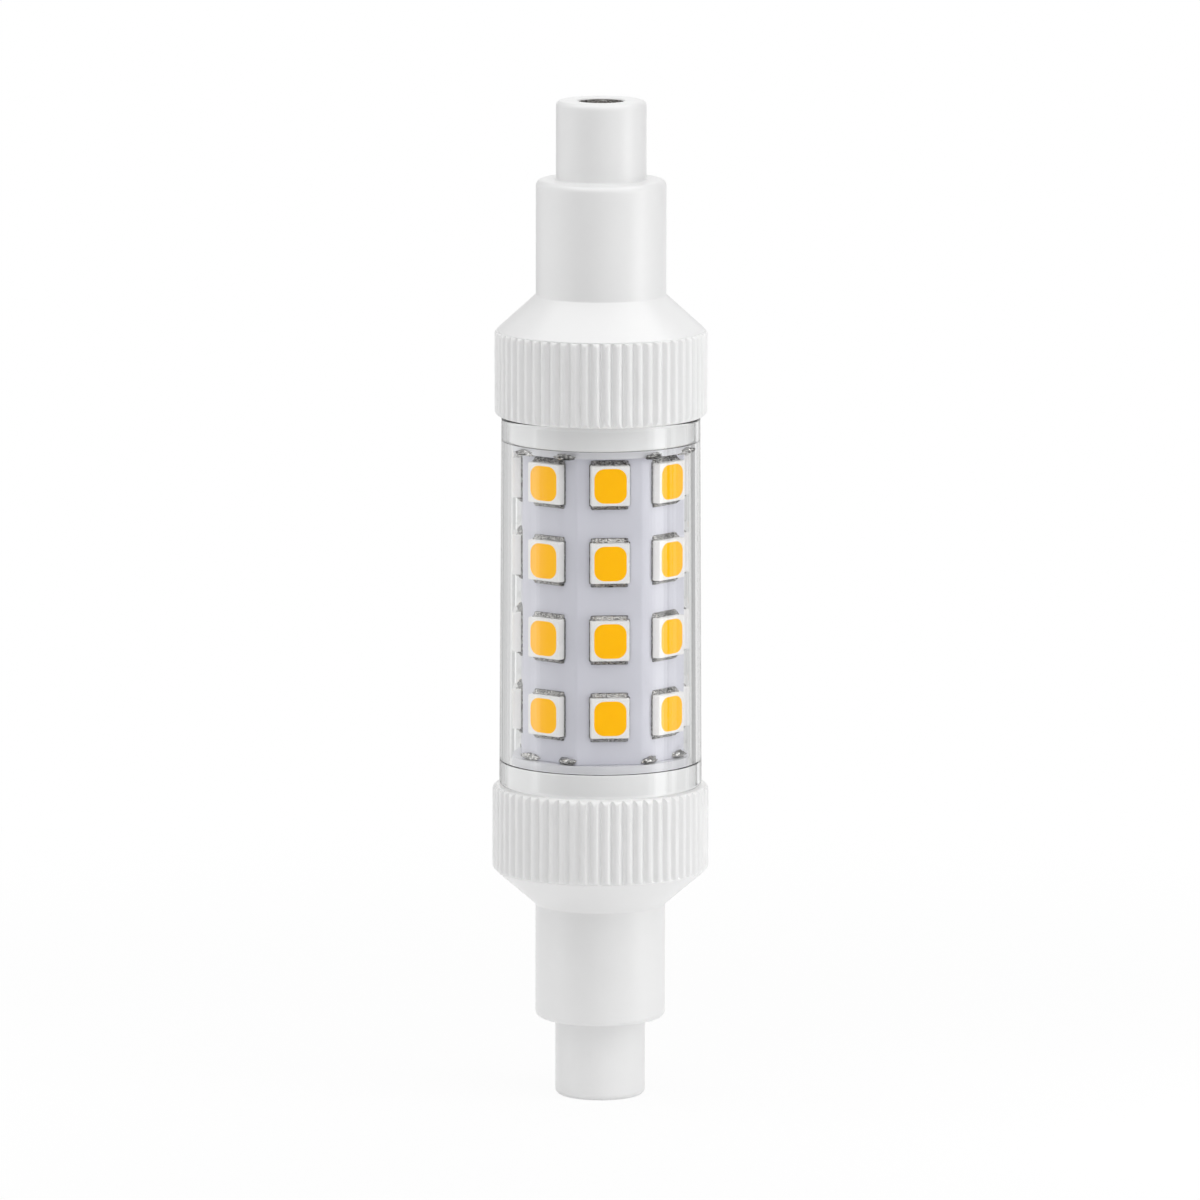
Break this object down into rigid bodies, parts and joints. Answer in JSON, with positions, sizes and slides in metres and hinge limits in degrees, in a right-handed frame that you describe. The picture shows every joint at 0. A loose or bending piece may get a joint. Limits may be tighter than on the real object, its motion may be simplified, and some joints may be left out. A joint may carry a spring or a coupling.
{
  "type": "linear led bulb",
  "caption": "Double-ended linear LED lamp: clear tube, white end caps with knurled rings and contact stubs, and a folded octagonal board of surface-mounted LEDs.",
  "frame": {"origin": "centre of the lower end face, on which the lamp stands", "axes": "+Z along the lamp from the lower to the upper contact, -Y out of the first facet of the LED board"},
  "size_m": [0.0168, 0.0168, 0.078],
  "materials": {
    "cap_moulding": "white satin moulding",
    "clear_moulding": "clear polished moulding",
    "contact_metal": "nickel plated",
    "board_coat": "white solder mask, semi-gloss",
    "end_plate": "white laminate, semi-gloss",
    "led_housing": "white moulded package",
    "phosphor": "yellow phosphor in silicone, smooth",
    "solder": "bright tinned",
    "driver_laminate": "green laminate",
    "tinned_wire": "tinned copper",
    "ceramic": "fired ceramic",
    "black_package": "black moulded package"
  },
  "bodies": {
    "root": {"upper_end_cap": "cap_moulding", "upper_contact": "contact_metal", "lower_end_cap": "cap_moulding", "lower_contact": "contact_metal", "clear_tube": "clear_moulding", "led_board": "board_coat", "upper_end_plate": "end_plate", "upper_solder_joints": "solder", "lower_end_plate": "end_plate", "lower_solder_joints": "solder", "led_housing_1_1": "led_housing", "led_housing_1_2": "led_housing", "led_housing_1_3": "led_housing", "led_housing_1_4": "led_housing", "led_housing_2_1": "led_housing", "led_housing_2_2": "led_housing", "led_housing_2_3": "led_housing", "led_housing_2_4": "led_housing", "led_housing_3_1": "led_housing", "led_housing_3_2": "led_housing", "led_housing_3_3": "led_housing", "led_housing_3_4": "led_housing", "led_housing_4_1": "led_housing", "led_housing_4_2": "led_housing", "led_housing_4_3": "led_housing", "led_housing_4_4": "led_housing", "led_housing_5_1": "led_housing", "led_housing_5_2": "led_housing", "led_housing_5_3": "led_housing", "led_housing_5_4": "led_housing", "led_housing_6_1": "led_housing", "led_housing_6_2": "led_housing", "led_housing_6_3": "led_housing", "led_housing_6_4": "led_housing", "led_housing_7_1": "led_housing", "led_housing_7_2": "led_housing", "led_housing_7_3": "led_housing", "led_housing_7_4": "led_housing", "led_housing_8_1": "led_housing", "led_housing_8_2": "led_housing", "led_housing_8_3": "led_housing", "led_housing_8_4": "led_housing", "phosphor_windows_1": "phosphor", "phosphor_windows_2": "phosphor", "phosphor_windows_3": "phosphor", "phosphor_windows_4": "phosphor", "phosphor_windows_5": "phosphor", "phosphor_windows_6": "phosphor", "phosphor_windows_7": "phosphor", "phosphor_windows_8": "phosphor", "led_terminals": "solder", "driver_board": "driver_laminate", "upper_lead_wire": "tinned_wire", "lower_lead_wire": "tinned_wire", "smoothing_capacitor": "ceramic", "fuse": "ceramic", "bridge_rectifier": "black_package", "driver_chip": "black_package", "sense_resistor": "black_package"}
  },
  "joints": []
}
